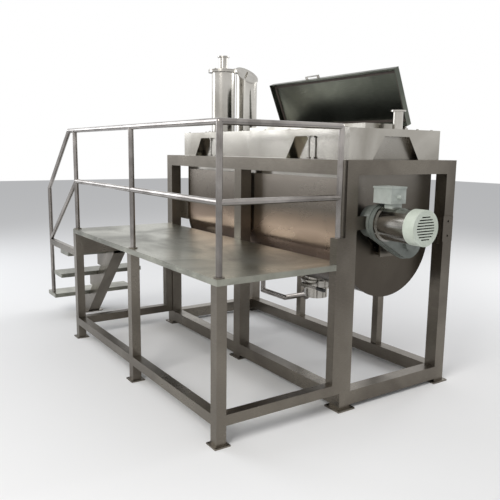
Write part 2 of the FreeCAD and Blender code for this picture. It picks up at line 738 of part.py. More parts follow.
# ---------------------------------------------------------------- pieces on the cover
def build_filter():
    y = shaftY - filterFront
    top = coverHeight + filterHeight
    wall = ring("FilterWall", alongZ, (filterX, y, coverHeight), filterHeight, filterRadius,
                filterRadius - pipeWall)
    foot = ring("FilterFoot", alongZ, (filterX, y, coverHeight), flangePlate, filterRadius + 38,
                filterRadius)
    rim = ring("FilterRim", alongZ, (filterX, y, top - flangePlate), flangePlate,
               filterRadius + 33, filterRadius)
    node("filter_housing", fuse("FilterHousing", [wall, foot, rim]))
    node("filter_lid", ring("FilterLid", alongZ, (filterX, y, top), flangePlate,
                            filterRadius + 33, filterNozzle - pipeWall))
    high = top + flangePlate
    tube = ring("NozzleTube", alongZ, (filterX, y, high), 128, filterNozzle, filterNozzle - pipeWall)
    collar = ring("NozzleCollar", alongZ, (filterX, y, high + 128 - flangePlate), flangePlate,
                  filterNozzle + 14, filterNozzle)
    node("filter_lid", fuse("FilterNozzle", [tube, collar]))
    bolts = []
    for step in range(8):
        turn = math.radians(22.5 + 45 * step)
        reach = filterRadius + 18
        spot = (filterX + reach * math.cos(turn), y + reach * math.sin(turn))
        bolts.append(rod("FilterBolt%d" % len(bolts), alongZ, (spot[0], spot[1], high), 8, 9))
        bolts.append(rod("FilterBolt%d" % len(bolts), alongZ,
                         (spot[0], spot[1], coverHeight + flangePlate), 8, 9))
    node("cover_bolts", group("FilterBolts", bolts))


def build_vent():
    y = shaftY + ventBack
    middle = coverHeight + ventHeight
    slope = Rotation(Vector(0, 1, 0), 35.9)
    reach = ventRadius * 4
    tall = middle + ventRadius * 2
    lean = 8 / math.cos(math.radians(35.9))

    def slab(name, rise, thickness):
        """A leaning slab whose lower face crosses the vent's axis at a height."""
        own_frame(True)
        plain = block(name + "Flat", (-reach / 2, reach / 2), (-reach / 2, reach / 2), (0, thickness))
        own_frame(False)
        turned = group(name, [plain])
        turned.Placement = Placement(Vector(0, 0, 0), slope)
        place(turned, ventX, y, middle + rise)
        return turned

    wall = ring("VentWall", alongZ, (ventX, y, coverHeight), tall - coverHeight, ventRadius,
                ventRadius - pipeWall)
    mitred = cut("VentMitred", wall, slab("VentAbove", 0, ventRadius * 4))
    foot = ring("VentFoot", alongZ, (ventX, y, coverHeight), flangePlate, ventRadius + 32, ventRadius)
    node("vent_pipe", fuse("VentPipe", [mitred, foot]))
    column = rod("VentColumn", alongZ, (ventX, y, coverHeight), tall - coverHeight + 100,
                 ventRadius + 8)
    node("vent_cover", common("VentCover", column, slab("VentSlab", 0, 8)))
    # a lifting knob on the mitred cover
    knob = rod("VentKnob", slope, (ventX, y, middle + lean), 34, 10)
    node("vent_cover", knob)


def build_stub():
    y = shaftY + ventBack
    tube = ring("StubTube", alongZ, (stubX, y, coverHeight), stubHeight, stubRadius,
                stubRadius - pipeWall)
    collar = ring("StubCollar", alongZ, (stubX, y, coverHeight + stubHeight - flangePlate),
                  flangePlate, stubRadius + 18, stubRadius)
    node("feed_stub", fuse("FeedStub", [tube, collar]))


# ---------------------------------------------------------------- agitator
def ribbon(name, left_hand, radius, width, start_turn, direction):
    """One ribbon: a helix about the shaft, swept by the ribbon's section.
    It starts at the trough's middle and runs to one end."""
    centre = radius - width / 2
    spine = doc.addObject("Part::Helix", name + "Helix")
    spine.setExpression("Pitch", ribbonPitch.text)
    spine.setExpression("Height", (ribbonPitch * turnsPerHalf).text)
    spine.setExpression("Radius", centre.text)
    spine.Angle = 0
    spine.LocalCoord = 1 if left_hand else 0
    section = doc.addObject("Sketcher::SketchObject", name + "Section")
    section.Placement = Placement(Vector(0, 0, 0), Rotation(Vector(1, 0, 0), 90))
    draw_loop(section, rectangle((radius - width, radius), about(0, ribbonPlate)))
    swept = doc.addObject("Part::Sweep", name)
    swept.Sections = [section]
    swept.Spine = (spine, ["Edge1"])
    swept.Solid = True
    swept.Frenet = True
    face = Rotation(Vector(0, 1, 0), 90 * direction)
    swept.Placement = Placement(Vector(0, 0, 0), Rotation(Vector(1, 0, 0), start_turn) * face)
    place(swept, troughMiddle, shaftY, shaftHeight)
    return swept


def build_agitator():
    start = leftOut - bearingStandoff - bearingPlate - bearingDepth + 10
    shaft = rod("AgitatorShaft", alongX, (start, shaftY, shaftHeight),
                gearboxHigh + 2 - start, shaftRadius)
    node("agitator_shaft", shaft)

    outer = [ribbon("OuterRight", False, ribbonRadius, ribbonWidth, 0, 1),
             ribbon("OuterLeft", True, ribbonRadius, ribbonWidth, 180, -1)]
    inner = [ribbon("InnerRight", True, innerRadius, innerWidth, 0, 1),
             ribbon("InnerLeft", False, innerRadius, innerWidth, 180, -1)]
    node("outer_ribbons", group("OuterRibbons", outer))
    node("inner_ribbons", group("InnerRibbons", inner))

    # radial spokes at every half turn, slotted for the ribbons they carry
    bars = []
    steps = int(turnsPerHalf * 2)
    reach = ribbonRadius - ribbonWidth + 8
    for step in range(-steps, steps + 1):
        x = troughMiddle + ribbonPitch * (step / 2)
        low = shaftHeight if step % 2 else shaftHeight - reach
        bars.append(rod("Spoke%d" % len(bars), alongZ, (x, shaftY, low), reach, spokeSize / 2))
    carried = fuse("SpokeSlots", [shaft] + outer + inner)
    node("ribbon_spokes", cut("RibbonSpokes", group("SpokeBars", bars), carried))


def build_bearings():
    """The same stuffing box and flanged bearing at both ends, outwards from the end plates."""
    glands = []
    packings = []
    spacers = []
    plates = []
    housings = []
    inserts = []
    for face, out in ((leftOut, -1), (rightOut, 1)):
        def span(near, depth):
            low = face + near * out
            high = face + (near + depth) * out
            return (low, high - low) if out > 0 else (high, low - high)

        def disc(name, near, depth, outer, inner):
            start, length = span(near, depth)
            return ring(name, alongX, (start, shaftY, shaftHeight), length, outer, inner)

        tag = str(len(glands))
        glands.append(disc("Gland" + tag, as_size(0), glandLength, glandRadius, packingRadius))
        packings.append(disc("Packing" + tag, as_size(0), glandLength - 4, packingRadius,
                             shaftRadius + runningGap))
        start, length = span(bearingStandoff, bearingPlate)
        plate = block("BearingPlate" + tag, (start, start + length),
                      about(shaftY, bearingSide), about(shaftHeight, bearingSide))
        bore = rod("BearingPlateBore" + tag, alongX, (start, shaftY, shaftHeight), length,
                   glandRadius)
        plates.append(cut("BearingPlateCut" + tag, plate, bore))
        start, length = span(as_size(0), bearingStandoff)
        reach = bearingSide / 2 - 22
        for y in (shaftY - reach, shaftY + reach):
            for z in (shaftHeight - reach, shaftHeight + reach):
                spacers.append(rod("Spacer%d" % len(spacers), alongX, (start, y, z), length, 15))
        near = bearingStandoff + bearingPlate
        housings.append(disc("Housing" + tag, near, bearingDepth, bearingRadius, bearingSeat))
        inserts.append(disc("Insert" + tag, near, bearingDepth - 6, bearingSeat,
                            shaftRadius + runningGap))
    node("shaft_glands", group("Glands", glands))
    node("shaft_packings", group("Packings", packings))
    node("bearing_plates", group("Spacers", spacers))
    node("bearing_plates", group("BearingPlates", plates))
    node("bearing_housings", group("BearingHousings", housings))
    node("bearing_inserts", group("BearingInserts", inserts))
    end = leftOut - bearingStandoff - bearingPlate - bearingDepth - 8
    node("bearing_housings", rod("ShaftEndCover", alongX, (end, shaftY, shaftHeight), 8,
                                bearingRadius - 6))


# ---------------------------------------------------------------- drive
def long_block(name, span, radius):
    """Two round ends joined by straight sides, from the shaft axis to the motor axis."""
    length = math.hypot(driveOffset.number, driveRise.number)
    lean = math.degrees(math.atan2(driveRise.number, -driveOffset.number))
    pieces = [rod(name + "Low", alongX, (span[0], shaftY, shaftHeight), span[1] - span[0], radius),
              rod(name + "High", alongX, (span[0], motorY, motorZ), span[1] - span[0], radius)]
    own_frame(True)
    flatBar = block(name + "Flat", (0, span[1] - span[0]), (0, length), about(0, radius * 2))
    own_frame(False)
    turned = group(name + "Turned", [flatBar])
    turned.Placement = Placement(Vector(0, 0, 0), Rotation(Vector(1, 0, 0), lean))
    place(turned, span[0], shaftY, shaftHeight)
    return fuse(name, pieces + [turned])


def build_drive():
    case = long_block("GearboxCase", (gearboxLow, gearboxHigh), gearboxRadius)
    rim = long_block("GearboxRim", about((gearboxLow + gearboxHigh) / 2, 18), gearboxRadius + 9)
    bore = rod("GearboxBore", alongX, (gearboxLow, shaftY, shaftHeight), gearboxDepth,
               sleeveRadius + runningGap)
    node("gearbox", cut("Gearbox", fuse("GearboxWhole", [case, rim]), bore))
    rear = gearboxRadius - 8
    node("gearbox_covers", rod("RearCover", alongX, (gearboxLow - 46, motorY, motorZ), 46, rear))
    node("gearbox_sleeve", ring("GearboxSleeve", alongX, (gearboxLow - 2, shaftY, shaftHeight),
                                gearboxDepth + 4, sleeveRadius, shaftRadius))
    cup = rod("ShaftCupOuter", alongX, (gearboxHigh, shaftY, shaftHeight), 20, sleeveRadius + 14)
    space = rod("ShaftCupSpace", alongX, (gearboxHigh, shaftY, shaftHeight), 12, sleeveRadius + 4)
    node("gearbox_covers", cut("ShaftCup", cup, space))

    # the torque bracket ties the gearbox to the frame's front right post
    arm = block("BracketArm", (gearboxLow, frameRight), (frameTube, motorY), about(motorZ, 90))
    node("trough_supports", cut("TorqueBracket", arm, fuse("BracketCut", [case, rim])))

    body = rod("MotorBody", alongX, (gearboxHigh, motorY, motorZ), motorLength, motorRadius)
    flange = rod("MotorFlange", alongX, (gearboxHigh, motorY, motorZ), 14, gearboxRadius + 6)
    bore = rod("MotorBore", alongX, (motorHigh - 60, motorY, motorZ), 60, rotorRadius + runningGap)
    node("motor_body", cut("Motor", fuse("MotorWhole", [body, flange]), bore))

    cowl = rod("CowlOuter", alongX, (motorHigh, motorY, motorZ), cowlLength, motorRadius + cowlWall)
    space = rod("CowlSpace", alongX, (motorHigh, motorY, motorZ), cowlLength - cowlWall, motorRadius)
    slots = []
    for step in range(-4, 5):
        half = math.sqrt(max(82 ** 2 - (step * 18) ** 2, 900))
        slots.append(block("CowlSlot%d" % len(slots), (cowlHigh - cowlWall, cowlHigh),
                           about(motorY, half * 2), about(motorZ + step * 18, 8)))
    node("fan_cowl", cut("FanCowl", cowl, fuse("CowlOpenings", [space] + slots)))

    end = cowlHigh - 22
    node("motor_shaft", rod("MotorShaft", alongX, (motorHigh - 58, motorY, motorZ),
                            end - motorHigh + 58, rotorRadius))
    low = motorHigh + 22
    hub = rod("FanHub", alongX, (low, motorY, motorZ), 36, 30)
    blades = []
    for step in range(6):
        own_frame(True)
        blade = block("BladeFlat%d" % step, (0, 32), (20, fanRadius), (-2, 2))
        own_frame(False)
        turned = group("Blade%d" % step, [blade])
        turned.Placement = Placement(Vector(0, 0, 0), Rotation(Vector(1, 0, 0), 60 * step))
        place(turned, low, motorY, motorZ)
        blades.append(turned)
    shaftHole = rod("FanBore", alongX, (low, motorY, motorZ), 36, rotorRadius)
    node("motor_fan", cut("MotorFan", fuse("FanWhole", [hub] + blades), shaftHole))

    box = (gearboxHigh - 60, gearboxHigh + 100)
    boxFoot = motorZ + motorRadius + 22
    node("terminal_box", block("TerminalBox", box, about(motorY, 140), (boxFoot, boxFoot + 100)))
    node("terminal_box_lid", block("TerminalBoxLid", (box[0] - 4, box[1] + 4), about(motorY, 148),
                                   (boxFoot + 100, boxFoot + 112)))
    neck = block("BoxNeckBlock", (gearboxHigh + 20, gearboxHigh + 90), about(motorY, 90),
                 (motorZ, boxFoot))
    node("terminal_box", cut("BoxNeck", neck, body))
    gland = rod("CableGland", alongX, (box[1], motorY, boxFoot + 45), 34, 15)
    node("terminal_box", gland)


# ---------------------------------------------------------------- discharge and jacket pipe
def build_discharge():
    inner = rod("OutletInner", alongZ, (outletX, shaftY, outletFoot), shaftHeight - outletFoot,
                outletBore)
    bore = rod("OutletTroughBore", alongX, (leftIn, shaftY, shaftHeight), rightIn - leftIn,
               troughRadius)
    neck = rod("NeckTube", alongZ, (outletX, shaftY, valveTop), shaftHeight - valveTop, outletOuter)
    plate = rod("NeckFlange", alongZ, (outletX, shaftY, valveTop), flangePlate, flangeRadius)
    node("discharge_neck", cut("DischargeNeck", fuse("NeckWhole", [neck, plate]),
                               fuse("NeckOpenings", [inner, bore])))

    body = rod("ValveRing", alongZ, (outletX, shaftY, valveFoot), valveDepth, flangeRadius - 8)
    stemHole = rod("ValveStemHole", alongY, (outletX, shaftY - flangeRadius, valveMiddle),
                   flangeRadius * 2 - 20, valveStem + runningGap)
    node("valve_ring", cut("ValveBody", body, fuse("ValveOpenings", [inner, stemHole])))

    disc = rod("ValvePlate", alongZ, (outletX, shaftY, valveMiddle - 4), 8, outletBore - 1)
    stem = rod("ValveStem", alongY, (outletX, shaftY - flangeRadius - 30, valveMiddle),
               flangeRadius * 2 + 8, valveStem)
    node("valve_disc", fuse("ValveDisc", [disc, stem]))
    hub = rod("LeverHub", alongY, (outletX, shaftY - flangeRadius - 30, valveMiddle), 24, 18)
    bar = block("LeverBar", (outletX, outletX + 190), (shaftY - flangeRadius - 26,
                shaftY - flangeRadius - 16), about(valveMiddle, 20))
    hole = rod("LeverHole", alongY, (outletX, shaftY - flangeRadius - 30, valveMiddle), 24,
               valveStem)
    node("valve_lever", cut("ValveLever", fuse("LeverWhole", [hub, bar]), hole))
    node("valve_lever_grip", rod("LeverGrip", alongX, (outletX + 190, shaftY - flangeRadius - 21,
                                 valveMiddle), 90, 15))

    plate = rod("SpoutFlange", alongZ, (outletX, shaftY, valveFoot - flangePlate), flangePlate,
                flangeRadius)
    tube = rod("SpoutTube", alongZ, (outletX, shaftY, outletFoot),
               valveFoot - outletFoot, spoutBore + outletWall)
    spoutInner = rod("SpoutInner", alongZ, (outletX, shaftY, outletFoot), valveFoot - outletFoot,
                     spoutBore)
    node("discharge_spout", cut("DischargeSpout", fuse("SpoutWhole", [plate, tube]), spoutInner))


def build_steam_pipe():
    radius = steamPipe / 2
    run = 350
    reach = 250
    turnX = steamPipeX + run

    def path(name, size_now, top, extra):
        start = (steamPipeX, shaftY, steamPipeZ)
        turn = (turnX, shaftY, steamPipeZ)
        return [rod(name + "Riser", alongZ, start, top, size_now),
                ball(name + "Elbow", start, size_now),
                rod(name + "Run", alongX, start, as_size(run), size_now),
                ball(name + "Bend", turn, size_now),
                rod(name + "Tail", alongY, turn, as_size(reach) + extra, size_now)]

    rise = shaftHeight - steamPipeZ
    outside = path("Steam", radius, rise, 0)
    outside.append(rod("SteamFlange", alongY, (turnX, shaftY + reach - flangePlate, steamPipeZ),
                       flangePlate, radius * 2))
    inside = path("SteamBore", radius - steamPipeWall, rise, 0)
    drum = rod("SteamJacket", alongX, (leftIn, shaftY, shaftHeight), rightIn - leftIn, jacketRadius)
    node("jacket_pipe", cut("JacketPipe", fuse("SteamOutside", outside),
                            fuse("SteamInside", inside + [drum])))


# ---------------------------------------------------------------- platform and stair
def build_platform():
    legX = [legAxis, middleLeg, rightLegX]
    legs = []
    feet = []
    for x in legX:
        legs.append(square_tube("Leg%d" % len(legs), about(x, legTube), about(railY, legTube),
                                (legFootPlate, legTop), legWall, "Z"))
        feet.append(drilled_plate("LegFoot%d" % len(feet), x, railY, legFoot, legFootPlate,
                                  legFootPitch, footHole))
    node("platform_legs", group("FrontLegs", legs))
    node("platform_plates", group("LegFeet", feet))
    stubTop = deckHeight + railStub
    rear = [square_tube("RearLegLeft", about(legAxis, legTube), (-legTube, 0), (braceFoot, legTop),
                        legWall, "Z"),
            square_tube("RearLegRight", about(rightLegX, legTube), (-legTube, 0),
                        (braceFoot, stubTop), legWall, "Z")]
    node("platform_legs", group("RearLegs", rear))

    braces = []
    level = (braceFoot, braceTop)
    for low, high in ((legX[0], legX[1]), (legX[1], legX[2])):
        braces.append(square_tube("Brace%d" % len(braces), (low + legAxis, high - legAxis),
                                  about(railY, legTube), level, legWall, "X"))
    for x in (legX[0], legX[2]):
        braces.append(square_tube("Brace%d" % len(braces), about(x, legTube),
                                  (railY + legAxis, -legTube), level, legWall, "Y"))
    node("platform_braces", group("Braces", braces))

    front = -platformDepth
    level = (legTop, deckUnder)
    inner = (deckSheet, platformLength - deckSheet)
    bearers = [square_tube("BearerFront", inner, (front + deckSheet, front + deckSheet + bearerTube),
                           level, 3, "X"),
               square_tube("BearerRear", (deckSheet, platformLength - legTube),
                           (-bearerTube, 0), level, 3, "X")]
    for x in (deckSheet, platformLength * 0.25, middleLeg - bearerTube / 2, platformLength * 0.75):
        bearers.append(square_tube("Bearer%d" % len(bearers), (x, as_size(x) + bearerTube),
                                   (front + deckSheet + bearerTube, -bearerTube), level, 3, "Y"))
    bearers.append(square_tube("BearerRight", (platformLength - deckSheet - bearerTube,
                               platformLength - deckSheet),
                               (front + deckSheet + bearerTube, -legTube), level, 3, "Y"))
    node("deck_bearers", group("DeckBearers", bearers))

    long = (as_size(0), platformLength)
    deep = (front, as_size(0))
    outer = block("DeckOuter", long, deep, (legTop, deckHeight))
    inner = block("DeckInner", inner, (front + deckSheet, 0), (legTop, deckUnder))
    notch = block("DeckNotch", (platformLength - legTube, platformLength), (-legTube, 0),
                  (legTop, deckHeight))
    node("deck_plate", cut("DeckPlate", outer, fuse("DeckAway", [inner, notch])))
    node("stair_fascia", block("Fascia", (0, 5), (railY + legAxis, -legTube), (fasciaFoot, legTop)))


def build_rails():
    corner = (rightLegX, railY, railZ)
    last = (rightLegX, -legAxis, railZ)
    first = (-railOverhang, railY, railZ)
    knee = (-stairPost, railY, stairKnee)
    radius = railRadius
    top = [rod("TopRun", alongX, first, rightLegX + railOverhang, radius), ball("TopStart", first, radius),
           ball("TopCorner", corner, radius), rod("TopEnd", alongY, corner, -legAxis - railY, radius),
           ball("TopLast", last, radius), bar_between("TopSlope", knee, first, radius),
           ball("TopKnee", knee, radius)]
    rail = fuse("TopRail", top)
    node("handrail_top", rail)

    flanges = []
    posts = []
    for x in (legAxis, middleLeg, rightLegX):
        foot = (x, railY, deckHeight)
        flanges.append(rod("RailFlange%d" % len(flanges), alongZ, foot, railFlange, 34))
        foot = (x, railY, deckHeight + railFlange)
        posts.append(rod("RailPost%d" % len(posts), alongZ, foot, railHeight - railFlange, radius))
    stubTop = deckHeight + railStub
    flanges.append(block("StubPlate", about(rightLegX, legTube), (-legTube, 0),
                         (stubTop, stubTop + railFlange)))
    posts.append(rod("RailPost%d" % len(posts), alongZ, (rightLegX, -legAxis, stubTop + railFlange),
                     railZ - stubTop - railFlange, radius))
    posts.append(rod("StairPost", alongZ, (-stairPost, railY, stairRise),
                     stairKnee - stairRise, radius))
    node("platform_plates", group("RailFlanges", flanges))
    uprights = cut("RailPostsTrimmed", group("RailPosts", posts), rail)
    node("handrail_posts", uprights)

    middle = (legAxis, railY, middleRailZ)
    bend = (rightLegX, railY, middleRailZ)
    run = [rod("MidRun", alongX, middle, rightLegX - legAxis, radius),
           rod("MidEnd", alongY, bend, -legAxis - railY, radius)]
    posts_again = group("RailPostsWhole", posts)
    node("handrail_middle", cut("MiddleRail", fuse("MiddleWhole", run), posts_again))

    # the tie lies on the top tread, from the stair's rail post to the platform's leg
    level = (stairRise * 3, stairRise * 3 + 60)
    tie = square_tube("StairTie", (-stairPost + radius + 0.3, as_size(0)), about(railY, 40),
                      level, 3, "X")
    tieSolid = block("StairTieSolid", (-stairPost, as_size(0)), about(railY, 40), level)
    node("platform_braces", tie)
    low = (-stairPost, railY, level[1])
    slope = bar_between("StairMiddle", low, middle, radius)
    node("handrail_middle", cut("StairMiddleCut", slope, fuse("StairMiddleAway", [posts_again, tieSolid])))


def build_stair():
    treads = []
    solids = []
    for step in range(3):
        top = stairRise * (3 - step)
        high = -stairReach + stairGoing * (3 - step)
        x = (high - stairGoing, high)
        y = (railY - railRadius, railY - railRadius + treadWidth)
        outer = block("Tread%dOuter" % step, x, y, (top - treadLip, top))
        inner = block("Tread%dInner" % step, (x[0] + treadSheet, x[1] - treadSheet),
                      (y[0] + treadSheet, y[1] - treadSheet), (top - treadLip, top - treadSheet))
        treads.append(cut("Tread%d" % step, outer, inner))
        solids.append(outer)
    node("stair_treads", group("Treads", treads))

    middle = railY - railRadius + treadWidth / 2
    slope = math.radians(stringerSlope)
    length = (stairReach - 60) / math.cos(slope)
    own_frame(True)
    bar = square_tube("StringerBar", (-length - 400, as_size(400)), about(0, stringerWidth),
                      about(0, stringerDepth), 5, "X")
    solid = block("StringerSolid", (-length - 400, as_size(400)), about(0, stringerWidth),
                  about(0, stringerDepth))
    own_frame(False)
    pieces = []
    for name, flatBar in (("Stringer", bar), ("StringerEnvelope", solid)):
        turned = group(name + "Turned", [flatBar])
        turned.Placement = Placement(Vector(0, 0, 0), Rotation(Vector(0, 1, 0), -stringerSlope))
        place(turned, 0, middle, fasciaFoot + 59)
        pieces.append(turned)
    reach = (-stairReach - 800, as_size(800))
    wide = about(middle, stringerWidth * 2)
    floor = block("StringerFloor", reach, wide, (-1000, legFootPlate))
    wall = block("StringerWall", (0, 800), wide, (0, 2000))
    away = fuse("StringerAway", [floor, wall] + solids)
    node("stair_stringer", cut("StairStringer", pieces[0], away))
    node("platform_plates", block("StairFoot", (-stairReach, -stairReach + 200),
                                   about(middle, stringerWidth + 80), (0, legFootPlate)))
    brackets = []
    for step in range(3):
        top = stairRise * (3 - step) - treadLip
        high = -stairReach + stairGoing * (3 - step)
        for side in (-1, 1):
            y = middle + (stringerWidth / 2 - 10) * side
            brackets.append(block("Bracket%d" % len(brackets),
                                  (high - stairGoing + treadSheet, high - treadSheet),
                                  about(y, 8), (top - 150, top)))
    node("stair_stringer", cut("TreadBrackets", group("BracketBlocks", brackets),
                               fuse("BracketAway", [pieces[1], floor] + solids)))


# ---------------------------------------------------------------- write the nodes
def finish():
    closed = close_nodes()
    doc.recompute()
    for thing in doc.Objects:
        bad = [state for state in thing.State if state in ("Invalid", "Error")]
        if bad:
            raise RuntimeError("%s is %s" % (thing.Name, bad))
    for thing in closed:
        shape = thing.Shape
        if shape.isNull() or not shape.isValid() or not shape.Solids:
            raise RuntimeError("%s has no valid shape" % thing.Label)
    os.makedirs("parts", exist_ok=True)
    for thing in closed:
        thing.Shape.exportStep("parts/%s.step" % thing.Label)
        print(thing.Label, len(thing.Shape.Solids), thing.Shape.BoundBox)


build_frame()
build_trough()
build_casing()
build_cover()
build_lid()
build_filter()
build_vent()
build_stub()
build_agitator()
build_bearings()
build_drive()
build_discharge()
build_steam_pipe()
build_platform()
build_rails()
build_stair()
finish()
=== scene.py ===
import bpy
import bmesh
import json
import math
from mathutils import Matrix, Vector

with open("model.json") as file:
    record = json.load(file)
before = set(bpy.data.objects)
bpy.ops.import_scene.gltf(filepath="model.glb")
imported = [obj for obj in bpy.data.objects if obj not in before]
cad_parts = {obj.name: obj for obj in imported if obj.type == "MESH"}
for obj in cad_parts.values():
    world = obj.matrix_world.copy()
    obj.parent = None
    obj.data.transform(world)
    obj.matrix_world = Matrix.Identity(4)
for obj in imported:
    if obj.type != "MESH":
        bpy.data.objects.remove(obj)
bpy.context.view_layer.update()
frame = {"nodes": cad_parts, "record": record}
nodes = frame["nodes"]


def paint(code, alpha=1.0):
    # screen colour to the linear colour a shader wants
    parts = [int(code[i:i + 2], 16) / 255 for i in (1, 3, 5)]
    return [p / 12.92 if p < 0.04045 else ((p + 0.055) / 1.055) ** 2.4 for p in parts] + [alpha]


# shared surface effects

def newGroup(name, inputs, outputs):
    group = bpy.data.node_groups.new(name, "ShaderNodeTree")
    for label, kind, value in inputs:
        socket = group.interface.new_socket(label, in_out="INPUT", socket_type=kind)
        if value is not None:
            socket.default_value = value
    for label, kind in outputs:
        group.interface.new_socket(label, in_out="OUTPUT", socket_type=kind)
    start = group.nodes.new("NodeGroupInput")
    end = group.nodes.new("NodeGroupOutput")
    return group, start, end


def addNode(tree, kind, settings=None, values=None):
    node = tree.nodes.new(kind)
    for key, value in (settings or {}).items():
        setattr(node, key, value)
    for key, value in (values or {}).items():
        node.inputs[key].default_value = value
    return node


def mathNode(tree, operation, first, second, third=None, clamp=False):
    node = addNode(tree, "ShaderNodeMath", {"operation": operation, "use_clamp": clamp})
    for index, value in enumerate((first, second, third)):
        if value is None:
            continue
        if isinstance(value, (int, float)):
            node.inputs[index].default_value = value
        else:
            tree.links.new(value, node.inputs[index])
    return node.outputs[0]


def colourMix(tree, factor, first, second, blend="MIX"):
    node = addNode(tree, "ShaderNodeMix", {"data_type": "RGBA", "blend_type": blend})
    for index, value in ((0, factor), (6, first), (7, second)):
        if isinstance(value, (int, float, list, tuple)):
            node.inputs[index].default_value = value
        else:
            tree.links.new(value, node.inputs[index])
    return node.outputs[2]


def ramp(tree, factor, stops):
    node = addNode(tree, "ShaderNodeValToRGB")
    points = node.color_ramp.elements
    while len(points) < len(stops):
        points.new(0.5)
    for point, (place, colour) in zip(points, stops):
        point.position = place
        point.color = colour if len(colour) == 4 else list(colour) + [1]
    tree.links.new(factor, node.inputs["Fac"])
    return node.outputs["Color"]


def makeGrainGroup():
    # drawn grain, cloudy patches and fine scratches of worked stainless sheet
    group, start, end = newGroup("workedSheet", [
        ("Position", "NodeSocketVector", None), ("Stretch", "NodeSocketVector", (4, 4, 60)),
        ("Grain", "NodeSocketFloat", 0.5), ("Patches", "NodeSocketFloat", 0.5),
        ("Patch Size", "NodeSocketFloat", 2.0), ("Scratches", "NodeSocketFloat", 0.3)],
        [("Tone", "NodeSocketFloat"), ("Wear", "NodeSocketFloat"), ("Height", "NodeSocketFloat")])
    links = group.links
    scaled = addNode(group, "ShaderNodeVectorMath", {"operation": "MULTIPLY"})
    links.new(start.outputs["Position"], scaled.inputs[0])
    links.new(start.outputs["Stretch"], scaled.inputs[1])
    grain = addNode(group, "ShaderNodeTexNoise", values={"Scale": 6.0, "Detail": 5.0, "Roughness": 0.65})
    links.new(scaled.outputs[0], grain.inputs["Vector"])
    patch = addNode(group, "ShaderNodeTexNoise", values={"Detail": 3.0, "Roughness": 0.55, "Distortion": 0.8})
    links.new(start.outputs["Position"], patch.inputs["Vector"])
    links.new(start.outputs["Patch Size"], patch.inputs["Scale"])
    turned = addNode(group, "ShaderNodeMapping", values={"Rotation": (0.5, 0.3, 0.9), "Scale": (3, 90, 12)})
    links.new(start.outputs["Position"], turned.inputs["Vector"])
    scratch = addNode(group, "ShaderNodeTexNoise", values={"Scale": 5.0, "Detail": 2.0, "Roughness": 0.4})
    links.new(turned.outputs["Vector"], scratch.inputs["Vector"])
    thin = addNode(group, "ShaderNodeMapRange", values={"From Min": 0.60, "From Max": 0.72})
    links.new(scratch.outputs["Fac"], thin.inputs["Value"])
    centred = mathNode(group, "SUBTRACT", grain.outputs["Fac"], 0.5)
    grainPart = mathNode(group, "MULTIPLY", centred, start.outputs["Grain"])
    cloud = addNode(group, "ShaderNodeMapRange", values={
        "From Min": 0.35, "From Max": 0.65, "To Min": -0.5, "To Max": 0.5})
    links.new(patch.outputs["Fac"], cloud.inputs["Value"])
    cloudPart = mathNode(group, "MULTIPLY", cloud.outputs["Result"], start.outputs["Patches"])
    wear = mathNode(group, "MULTIPLY", thin.outputs["Result"], start.outputs["Scratches"])
    tone = mathNode(group, "ADD", mathNode(group, "ADD", grainPart, cloudPart), 0.5)
    lift = mathNode(group, "MULTIPLY", wear, 0.35)
    links.new(mathNode(group, "ADD", tone, lift, clamp=True), end.inputs["Tone"])
    links.new(wear, end.inputs["Wear"])
    dip = mathNode(group, "MULTIPLY", wear, -0.5)
    links.new(mathNode(group, "ADD", grainPart, dip), end.inputs["Height"])
    return group


grainGroup = makeGrainGroup()


def blank(name):
    material = bpy.data.materials.new(name)
    material.use_nodes = True
    tree = material.node_tree
    tree.nodes.clear()
    shader = addNode(tree, "ShaderNodeBsdfPrincipled")
    out = addNode(tree, "ShaderNodeOutputMaterial")
    tree.links.new(shader.outputs["BSDF"], out.inputs["Surface"])
    where = addNode(tree, "ShaderNodeTexCoord")
    return material, tree, shader, where.outputs["Object"]


def steel(name, dark, light, rough=(0.22, 0.42), stretch=(4, 4, 60), grain=0.5, patches=0.5,
          patchSize=2.0, scratches=0.3, bump=0.15, metallic=1.0, paintedLightBands=None):
    # worked stainless: two tones mixed by its grain, with optional painted light and shade bands up its
    # height
    material, tree, shader, place = blank(name)
    effect = addNode(tree, "ShaderNodeGroup", {"node_tree": grainGroup}, {
        "Stretch": stretch, "Grain": grain, "Patches": patches, "Patch Size": patchSize,
        "Scratches": scratches})
    tree.links.new(place, effect.inputs["Position"])
    colour = colourMix(tree, effect.outputs["Tone"], paint(dark), paint(light))
    # painted light and shade: a colour ramp by height laid over the grain tones
    if paintedLightBands:
        axis, low, high, stops = paintedLightBands
        split = addNode(tree, "ShaderNodeSeparateXYZ")
        tree.links.new(place, split.inputs[0])
        span = addNode(tree, "ShaderNodeMapRange", values={"From Min": low, "From Max": high})
        tree.links.new(split.outputs[axis], span.inputs["Value"])
        wobble = mathNode(tree, "MULTIPLY_ADD", effect.outputs["Tone"], 0.08, -0.04)
        level = mathNode(tree, "ADD", span.outputs["Result"], wobble, clamp=True)
        colour = colourMix(tree, 0.85, colour, ramp(tree, level, [(p, paint(c)) for p, c in stops]))
    tree.links.new(colour, shader.inputs["Base Color"])
    shader.inputs["Metallic"].default_value = metallic
    sheen = addNode(tree, "ShaderNodeMapRange", values={"To Min": rough[1], "To Max": rough[0]})
    tree.links.new(effect.outputs["Tone"], sheen.inputs["Value"])
    tree.links.new(sheen.outputs["Result"], shader.inputs["Roughness"])
    bumpNode = addNode(tree, "ShaderNodeBump", values={"Strength": bump, "Distance": 0.002})
    tree.links.new(effect.outputs["Height"], bumpNode.inputs["Height"])
    tree.links.new(bumpNode.outputs["Normal"], shader.inputs["Normal"])
    return material


